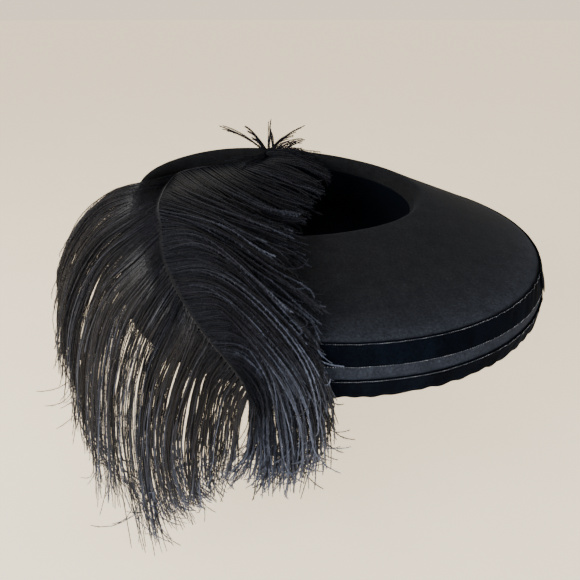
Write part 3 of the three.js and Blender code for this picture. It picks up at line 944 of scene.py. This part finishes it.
def tip_turned(line, side, along, shares, across, beside, lock_turn, draw):
    """The line with its last stretch curled and, on many of the hanging barbs, a hook at its end."""
    start = draw.uniform(0.7, 0.9)
    calm = float(np.interp(along, (0.35, 0.6), (0.35, 1)))
    curl = (np.clip((shares - start) / (1 - start), 0, 1) ** 2) * draw.gamma(2.0, CURL_SIZE) * calm
    turn = lock_turn + draw.normal(0, 0.9)
    own_way = across * math.sin(turn) + beside * math.cos(turn)
    fall = float(np.interp(along, (0.5, 0.75), (0, side.tip_fall)))
    line = line + mix(own_way, side.tip_way, fall) * curl
    if along > HOOKS_FROM and draw.uniform() < HOOK_CHANCE:
        inwards = unit(side.tip_way) * draw.choice((1, 1, 1, -0.6))
        step = BARB_STEPS - draw.integers(4, 9)
        line = hooked(line, step, draw.uniform(1.0, 3.3), inwards + own_way * 0.35)
    return line


def trimmed(line, shares, draw):
    """The line cut off at the length that the barb still has."""
    keep = draw.uniform(0.94, 1.0) if draw.uniform() < WHOLE_CHANCE else draw.uniform(0.66, 0.94)
    return between(shares[:, 0] * keep, shares[:, 0], line)


def settle(line, draw):
    """Moves the line clear of the hat, evens it out and bends it back at the plume's outer side."""
    clear_of_hat(line, BARB_ROOM + BARB_ROOM_SPREAD * draw.uniform())
    line[1:-1] = (line[:-2] + 2 * line[1:-1] + line[2:]) / 4
    clear_of_hat(line, LEAST_ROOM)
    beyond = np.maximum(0, SIDE_SOFT - line[:, 0])
    line[:, 0] += beyond - SIDE_GIVE * (1 - np.exp(-beyond / SIDE_GIVE))


def barb_lines(side, alongs, draw, scatter, lock_count, gather):
    """Middle lines of the barbs: side by side at the quill, gathered into locks towards their tips."""
    shares = 1 - (1 - np.linspace(0, 1, BARB_STEPS)[:, None]) ** TIP_CROWDING
    locks = Locks(side, lock_count, draw)
    lines = []
    for along in alongs:
        lock = locks.nearest(along)
        strength = float(np.interp(along, gather[0], gather[1])) * draw.uniform(0.45, 1.15)
        pull = np.clip(strength * LOCK_PULLS, 0, MOST_PULL)[:, None]
        lock_route = side.route(locks.places[lock])
        route = mix(strand_route(side, along), lock_route, pull) + locks.pushes[lock] * pull
        route = route + stray_from_row(side, along, scatter, draw)
        line = np.array([curve_point(route, share) for share in shares[:, 0]])
        lengthwise = route[-1] - route[0]
        across = unit(np.cross(lengthwise, quill_tangent(along)))
        beside = unit(np.cross(across, lengthwise))
        line = waved(line, shares, across, beside, draw)
        lock_wave = np.sin(shares * locks.paces[lock] + locks.phases[lock])
        line = line + beside * lock_wave * shares * locks.swings[lock] * strength
        line = tip_turned(line, side, along, shares, across, beside, locks.turns[lock], draw)
        line = trimmed(line, shares, draw)
        settle(line, draw)
        lines.append(line)
    return np.array(lines)


def frames_along(lines, first_across):
    """Tangents and two cross directions at each point, carried along without twist."""
    tangents = unit(np.gradient(lines, axis=1))
    across = np.zeros_like(lines)
    previous = first_across
    for step in range(lines.shape[1]):
        tangent = tangents[:, step]
        previous = unit(previous - tangent * np.sum(previous * tangent, axis=1, keepdims=True))
        across[:, step] = previous
    return tangents, across, np.cross(tangents, across)


BARBULE_HALF_WIDTH = 0.00041
FIRST_BARBULE = 0.0016
LAST_BARBULE = 0.0004
BARBULE_SAG = 0.12
SHAFT_TAPER = 0.75


class Fluff:
    """A kind of barb: its barbules' lengths at the root and at the tip, how much paler its tip is painted
    (painted light for the light falling on hanging ends), how closely the outer barbules lie along it, how
    far apart they stand, and the shaft's radius."""

    def __init__(self, near, far, tip_painted_light=0.3, close=0.0, spacing=0.00057, radius=0.00037):
        self.near = near
        self.far = far
        self.tip_painted_light = tip_painted_light
        self.close = close
        self.spacing = spacing
        self.radius = radius


def shafts(lines, across, third, tones, fluff):
    """Points, tones and faces of a three-sided shaft along each line."""
    count, steps = lines.shape[:2]
    shares = np.linspace(0, 1, steps)
    thick = mix(fluff.radius, SHAFT_TAPER * fluff.radius, shares)[None, :, None]
    rings = []
    for corner in range(3):
        angle = 2 * math.pi * corner / 3
        rings.append(lines + thick * (across * math.cos(angle) + third * math.sin(angle)))
    # Painted light: the shaft is painted paler towards its tip, most on the hanging barbs, for light falling
    # on the hanging ends.
    paler = mix(1.0, 1.0 + fluff.tip_painted_light, shares ** 2)
    shade = np.repeat(tones[:, None] * paler[None, :], 3, axis=1)
    faces = []
    for barb in range(count):
        start = barb * steps * 3
        last = start + (steps - 1) * 3
        faces += [(start, start + 2, start + 1), (last, last + 1, last + 2)]
        for a in range(start, last, 3):
            faces += [(a, a + 1, a + 4, a + 3), (a + 1, a + 2, a + 5, a + 4), (a + 2, a, a + 3, a + 5)]
    return np.stack(rings, axis=2).reshape(-1, 3), shade.reshape(-1), faces


def barbules(line, tangents, across, third, tone, fluff, draw):
    """Points and tones of the barbules of one barb: slim triangles that lean towards its tip."""
    walked = walked_along(line)
    places = np.arange(FIRST_BARBULE, walked[-1] - LAST_BARBULE, fluff.spacing)
    places = places + draw.normal(0, 0.15 * fluff.spacing, len(places))
    places = np.repeat(places, 2)
    middle = between(places, walked, line)
    tangent = unit(between(places, walked, tangents))
    flat = unit(between(places, walked, across))
    up = unit(between(places, walked, third))
    side = np.where(np.arange(len(places)) % 2 == 0, 0, math.pi) + draw.normal(0, 0.75, len(places))
    away = flat * np.cos(side)[:, None] + up * np.sin(side)[:, None]
    far = places / walked[-1]
    lean = (draw.uniform(0.4, 1.05, len(places)) * (1 - 0.4 * far * fluff.close))[:, None]
    length = mix(fluff.near, fluff.far, far ** 2) * draw.uniform(0.55, 1.25, len(places))
    length = length * np.clip((1.03 - far) / 0.06, 0.6, 1)
    tip = middle + (tangent * np.cos(lean) + away * np.sin(lean)) * length[:, None]
    tip[:, 2] -= BARBULE_SAG * length
    base = tangent * BARBULE_HALF_WIDTH
    # Painted light: barbules are painted paler towards the barb's tip, most on the hanging barbs.
    shade = tone * draw.uniform(0.7, 1.3, len(places)) * (1 + fluff.tip_painted_light * far ** 2)
    return np.stack([middle - base, middle + base, tip], axis=1).reshape(-1, 3), np.repeat(shade, 3)


def barb_piece(name, lines, draw, fluff):
    """Shafts along the lines, with barbules on both sides of each, in one mesh."""
    # Each barb's tone differs at random; the lighter barbs also stand for painted highlight streaks.
    tones = np.clip(draw.gamma(3.0, 0.085, len(lines)), 0.04, 0.5)
    tangents, across, third = frames_along(lines, np.tile([0.31, 0.52, 0.79], (len(lines), 1)))
    shaft_points, shaft_shade, faces = shafts(lines, across, third, tones, fluff)
    shaft_faces = len(faces)
    points, shades = [shaft_points], [shaft_shade]
    offset = len(shaft_points)
    for barb, line in enumerate(lines):
        added, shade = barbules(line, tangents[barb], across[barb], third[barb], tones[barb], fluff, draw)
        points.append(added)
        shades.append(shade)
        faces += [(start, start + 1, start + 2) for start in range(offset, offset + len(added), 3)]
        offset += len(added)
    shade = np.clip(np.concatenate(shades), 0, 1)
    piece = joined(name, np.concatenate(points).tolist(), faces, {"tone": shade})
    finish(piece, FEATHER, "ostrich_feather")
    piece.data.materials.append(BARB_SHAFT)
    kinds = np.zeros(len(faces), dtype=np.int32)
    kinds[:shaft_faces] = 1
    piece.data.polygons.foreach_set("material_index", kinds)


def barb_pieces(name, lines, draw, fluffs):
    """The lines in as many pieces as there are kinds of fluff, root end first."""
    for number, fluff in enumerate(fluffs):
        start = number * len(lines) // len(fluffs)
        stop = (number + 1) * len(lines) // len(fluffs)
        barb_piece(f"{name}_{number + 1}", lines[start:stop], draw, fluff)


def barb_places(stretches, draw):
    """Places along the quill where barbs leave it, in order."""
    places = []
    for first, last, count in stretches:
        scattered = np.linspace(first, last, count) + draw.normal(0, 0.002, count)
        places.append(np.clip(scattered, first, last))
    return np.sort(np.concatenate(places))


# Stretches of the quill: where each begins and ends, and how many barbs leave it
FRONT_STRETCHES = ((0, 0.04, 30), (0.04, 1, 450), (0.6, 1, 400))
BACK_STRETCHES = ((0.26, 1, 520), (0.34, 0.68, 280), (0.78, 1, 230))

# How strongly barbs are gathered into locks: places along the quill, and the strength at each
FRONT_GATHER = ((0, 0.45, 0.7, 1), (0.45, 0.55, 0.4, 0.3))
BACK_GATHER = ((0.26, 0.45, 0.55, 0.7, 0.82, 1), (0.2, 0.3, 0.62, 0.78, 0.5, 0.35))

FRONT_FLUFF = (
    Fluff(0.0018, 0.0027, 0.2, 0),
    Fluff(0.0017, 0.002, 0.6, 0.5),
    Fluff(0.0016, 0.0017, 1.6, 1),
    Fluff(0.0015, 0.0016, 3.2, 1),
    Fluff(0.0015, 0.0016, 4.0, 1),
)
BACK_FLUFF = (
    Fluff(0.0016, 0.0016, 0.3, 0.6),
    Fluff(0.0015, 0.0016, 0.7, 1),
    Fluff(0.0015, 0.0016, 1.2, 1),
    Fluff(0.0014, 0.0016, 1.8, 1),
    Fluff(0.0014, 0.0016, 2.4, 1),
    Fluff(0.0014, 0.0016, 2.4, 1),
)

plume_draw = np.random.default_rng(309)
front_places = barb_places(FRONT_STRETCHES, plume_draw)
front_lines = barb_lines(front_side, front_places, plume_draw, 0.9, 46, FRONT_GATHER)
back_places = barb_places(BACK_STRETCHES, plume_draw)
back_lines = barb_lines(back_side, back_places, plume_draw, 0.95, 40, BACK_GATHER)
barb_pieces("front_barbs", front_lines, plume_draw, FRONT_FLUFF)
barb_pieces("back_barbs", back_lines, plume_draw, BACK_FLUFF)


# Quill: a flat strap with raised edges, broadest where it lies over the brim

QUILL_RINGS = 90
QUILL_SHARES = (0, 0.12, 0.25, 0.38, 0.5, 0.62, 0.75, 0.88, 1)
QUILL_WIDTHS = (0.0014, 0.0015, 0.0016, 0.0016, 0.0016, 0.0018, 0.002, 0.0017, 0.0008)
QUILL_MOST_RISE = 0.0014
QUILL_GROOVE = 0.45
# Where along its length the quill is painted grey: partly its own pale colour, partly a painted highlight;
# dark beyond
TONE_SHARES = (0.15, 0.19, 0.42, 0.52, 0.6)
QUILL_TONES = (0, 0.85, 0.6, 0.2, 0)


def quill_ring(along):
    middle = quill_point(along)
    tangent = quill_tangent(along)
    side = unit(np.cross(tangent, UP + 0.6 * outward_from(1, 1, math.atan2(middle[1], middle[0]))))
    raised = np.cross(side, tangent)
    half_width = 0.5 * float(np.interp(along, QUILL_SHARES, QUILL_WIDTHS))

    def row(angle):
        across = math.cos(angle)
        height = math.sin(angle)
        groove = -QUILL_GROOVE * max(0, height) * (1 - across * across)
        rise = (0.62 * height + groove) * min(half_width, QUILL_MOST_RISE)
        return middle + side * across * half_width + raised * rise

    return row


quill = ring_skin("quill_strap", [quill_ring(share) for share in np.linspace(0, 1, QUILL_RINGS)], 16)
bpy.ops.mesh.extrude_edges_move()
bpy.ops.mesh.merge(type="CENTER")
bpy.ops.mesh.select_all(action="SELECT")
bpy.ops.mesh.fill_holes(sides=0)
face_outwards(quill, Vector(tuple(quill_point(0.5) + UP * 0.02)))
quill_tone = quill.data.attributes.new("tone", "FLOAT", "POINT")
for tone, vert in zip(quill_tone.data, quill.data.vertices):
    nearest = np.argmin(np.linalg.norm(quill_fine - np.array(vert.co), axis=1))
    tone.value = float(np.interp(quill_walked[nearest], TONE_SHARES, QUILL_TONES))
bpy.ops.object.shade_smooth()
finish(quill, QUILL, "ostrich_feather", "ostrich_plume")


# Tuft of fuzzy spikes at the fastening, and the loose fluff round it

SPIKE_STRANDS = 5
SPIKE_BOW = 0.0028

# Each spike: where it starts and how far its tip is from there, forwards, left and up, in metres
TUFT_SPIKES = (
    ((-0.006, 0.004, 0.004), (-0.0435, 0.004, 0.022)), ((-0.003, 0.004, 0.004), (-0.022, 0.004, 0.02)),
    ((-0.003, 0.003, 0.003), (-0.015, 0.003, 0.013)), ((0.0005, 0.005, 0.003), (0.0015, 0.006, 0.028)),
    ((0.005, 0.004, 0.003), (-0.003, 0.005, 0.022)), ((0.003, 0.004, 0.003), (0.032, 0.006, 0.023)),
    ((0.004, 0.004, 0.003), (0.025, 0.004, 0.015)), ((0.007, 0.003, 0.002), (0.023, 0.003, 0.010)),
    ((0.016, 0.003, 0.002), (0.021, 0.003, 0.011)),
)

# Fluff beside the fastening: four places along each row, then how many strands lie there
FLUFF_ROWS = (
    (((87, -0.14, 0.01), (79, -0.13, 0.012), (72, -0.12, 0.012), (63, -0.15, 0.008)), 16),
    (((87, -0.2, 0.01), (78, -0.21, 0.014), (66, -0.25, 0.014), (50, -0.33, 0.01)), 26),
    (((87, -0.24, 0.01), (75, -0.32, 0.014), (57, -0.42, 0.014), (29, -0.47, 0.01)), 22),
    (((92, -0.32, 0.01), (101, -0.36, 0.012), (112, -0.38, 0.012), (123, -0.4, 0.008)), 8),
    (((92, -0.38, 0.01), (101, -0.5, 0.012), (111, -0.56, 0.012), (120, -0.6, 0.008)), 7),
)


def tuft_lines(draw):
    shares = np.linspace(0, 1, 12)[:, None]
    root = quill_point(0)
    lines = []
    for start, aim in TUFT_SPIKES:
        for strand in range(SPIKE_STRANDS):
            tip = np.array(aim) * (1 - 0.11 * strand * draw.uniform(0.3, 1)) + draw.normal(0, 0.0008, 3)
            begin = root + np.array(start) + draw.normal(0, 0.0006, 3)
            bow = draw.normal(0, 0.0005, 3) + UP * SPIKE_BOW
            line = begin + tip * shares + bow * 4 * shares * (1 - shares)
            clear_of_hat(line, 0.0008)
            lines.append(line)
    return np.array(lines)


def fluff_lines(draw):
    root = quill_point(0)
    lines = []
    for places, count in FLUFF_ROWS:
        for _ in range(count):
            keep = draw.uniform(0.45, 1.0)
            stray = draw.normal(0, 0.0024, 3)
            knots = [root + draw.normal(0, 0.0018, 3)]
            for number, place in enumerate(places):
                knots.append(plume_place(*place) + stray * (0.4 + 0.25 * number) + draw.normal(0, 0.0008, 3))
            line = np.array([curve_point(knots, share * keep) for share in np.linspace(0, 1, 14)])
            clear_of_hat(line, 0.001 + 0.002 * draw.uniform())
            lines.append(line)
    return np.array(lines)


SPIKE_FLUFF = Fluff(0.0016, 0.0011, spacing=0.0003, radius=0.0005)
LOOSE_FLUFF = Fluff(0.0028, 0.0024)
tuft_draw = np.random.default_rng(77)
barb_piece("tuft_spikes", tuft_lines(tuft_draw), tuft_draw, SPIKE_FLUFF)
barb_piece("tuft_fluff", fluff_lines(tuft_draw), tuft_draw, LOOSE_FLUFF)


# Camera, light and floor

CAMERA_PLACE = (0.0550, -0.47208, 0.18005)
CAMERA_DOWN = 26.407
CAMERA_LEFT = 4.159
CAMERA_LENS = 34.76
LIGHTS_AIM = (0.02, 0, -0.02)

camera_data = bpy.data.cameras.new("photo_camera")
camera_data.sensor_width = 36
camera_data.lens = CAMERA_LENS
camera_data.clip_start = 0.01
camera = bpy.data.objects.new("photo_camera", camera_data)
camera.location = CAMERA_PLACE
camera.rotation_euler = (math.radians(90 - CAMERA_DOWN), 0, math.radians(CAMERA_LEFT))
bpy.context.scene.collection.objects.link(camera)
bpy.context.scene.camera = camera


def soft_light(name, place, size, power, colour):
    data = bpy.data.lights.new(name, "AREA")
    data.shape = "RECTANGLE"
    data.size = size[0]
    data.size_y = size[1]
    data.energy = power
    data.color = colour
    lamp = bpy.data.objects.new(name, data)
    lamp.location = place
    aim = Vector(LIGHTS_AIM) - Vector(place)
    lamp.rotation_euler = aim.to_track_quat("-Z", "Y").to_euler()
    bpy.context.scene.collection.objects.link(lamp)


soft_light("window_light", (-1.2, -1.5, 0.42), (1.4, 1.0), 92, (1.0, 0.985, 0.955))
soft_light("fill_light", (0.9, -1.5, 0.0), (0.9, 0.9), 36, (0.8, 0.9, 1.0))

world = bpy.data.worlds.new("pale_room")
bpy.context.scene.world = world
world.use_nodes = True
background = world.node_tree.nodes["Background"]
heading = world.node_tree.nodes.new("ShaderNodeTexCoord")
split = world.node_tree.nodes.new("ShaderNodeSeparateXYZ")
shade = world.node_tree.nodes.new("ShaderNodeValToRGB")
shade.color_ramp.elements[0].position = 0.02
shade.color_ramp.elements[0].color = (1.36, 1.14, 0.86, 1)
shade.color_ramp.elements[1].position = 0.3
shade.color_ramp.elements[1].color = (0.78, 0.74, 0.68, 1)
world.node_tree.links.new(heading.outputs["Generated"], split.inputs[0])
world.node_tree.links.new(split.outputs["Z"], shade.inputs["Fac"])
world.node_tree.links.new(shade.outputs["Color"], background.inputs["Color"])

bpy.ops.mesh.primitive_circle_add(vertices=96, radius=40, fill_type="NGON", location=(0, 0, FLOOR_HEIGHT))
floor = bpy.context.object
floor.name = "pale_floor"
bpy.ops.object.transform_apply(location=True, rotation=True, scale=True)
plaster = Recipe("pale plaster floor")
cloud = plaster.grain(7.0, 4.0, 0.6)
plaster.colour(plaster.ramp(cloud, (0.3, (0.86, 0.76, 0.61)), (0.7, (0.91, 0.81, 0.66))))
plaster.gloss(0.9, 0.15)
plaster.shader.inputs["Emission Color"].default_value = (1.0, 0.79, 0.5, 1)
plaster.shader.inputs["Emission Strength"].default_value = 0.8
floor.data.materials.append(plaster.material)

bpy.ops.object.select_all(action="DESELECT")
